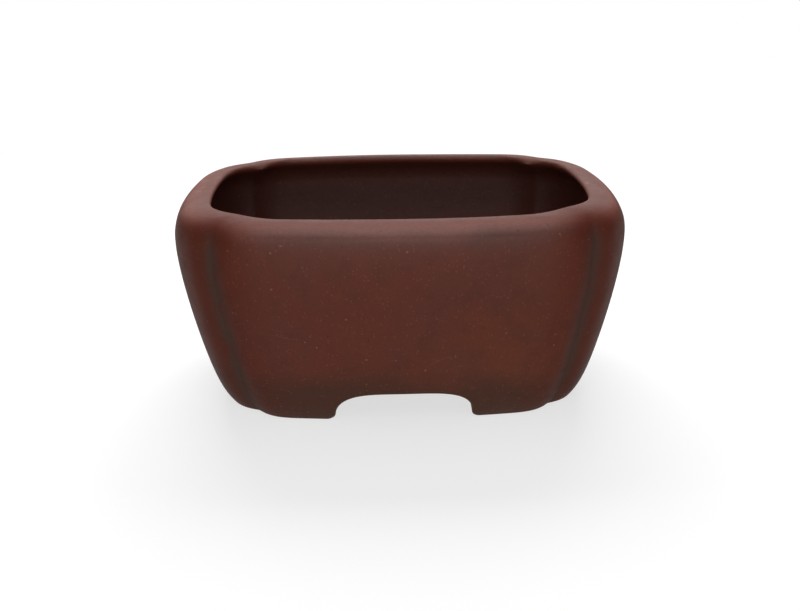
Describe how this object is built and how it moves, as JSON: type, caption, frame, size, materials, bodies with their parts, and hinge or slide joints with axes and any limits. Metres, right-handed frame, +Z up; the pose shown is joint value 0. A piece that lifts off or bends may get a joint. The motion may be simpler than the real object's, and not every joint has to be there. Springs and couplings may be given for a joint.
{
  "type": "bonsai pot",
  "caption": "Small unglazed stoneware bonsai pot, rectangular with softly indented corners, rolled-in lip, tapering walls, corner feet and drained floor.",
  "frame": {"origin": "middle of the footprint on the ground plane, under the four feet", "axes": "+X to the right along the long side, +Y from the front to the back, +Z up"},
  "size_m": [0.125, 0.1, 0.057],
  "materials": {
    "wall_clay": "satin unglazed purple-brown stoneware with fine pale grog",
    "lip_clay": "satin, burnished unglazed stoneware",
    "foot_clay": "satin unglazed stoneware, dry on the soles",
    "floor_clay": "matt unglazed stoneware"
  },
  "bodies": {
    "root": {"floor_slab": "floor_clay", "front_wall": "wall_clay", "front_lip": "lip_clay", "back_wall": "wall_clay", "back_lip": "lip_clay", "left_wall": "wall_clay", "left_lip": "lip_clay", "right_wall": "wall_clay", "right_lip": "lip_clay", "foot_front_left": "foot_clay", "foot_front_right": "foot_clay", "foot_back_left": "foot_clay", "foot_back_right": "foot_clay"}
  },
  "joints": []
}
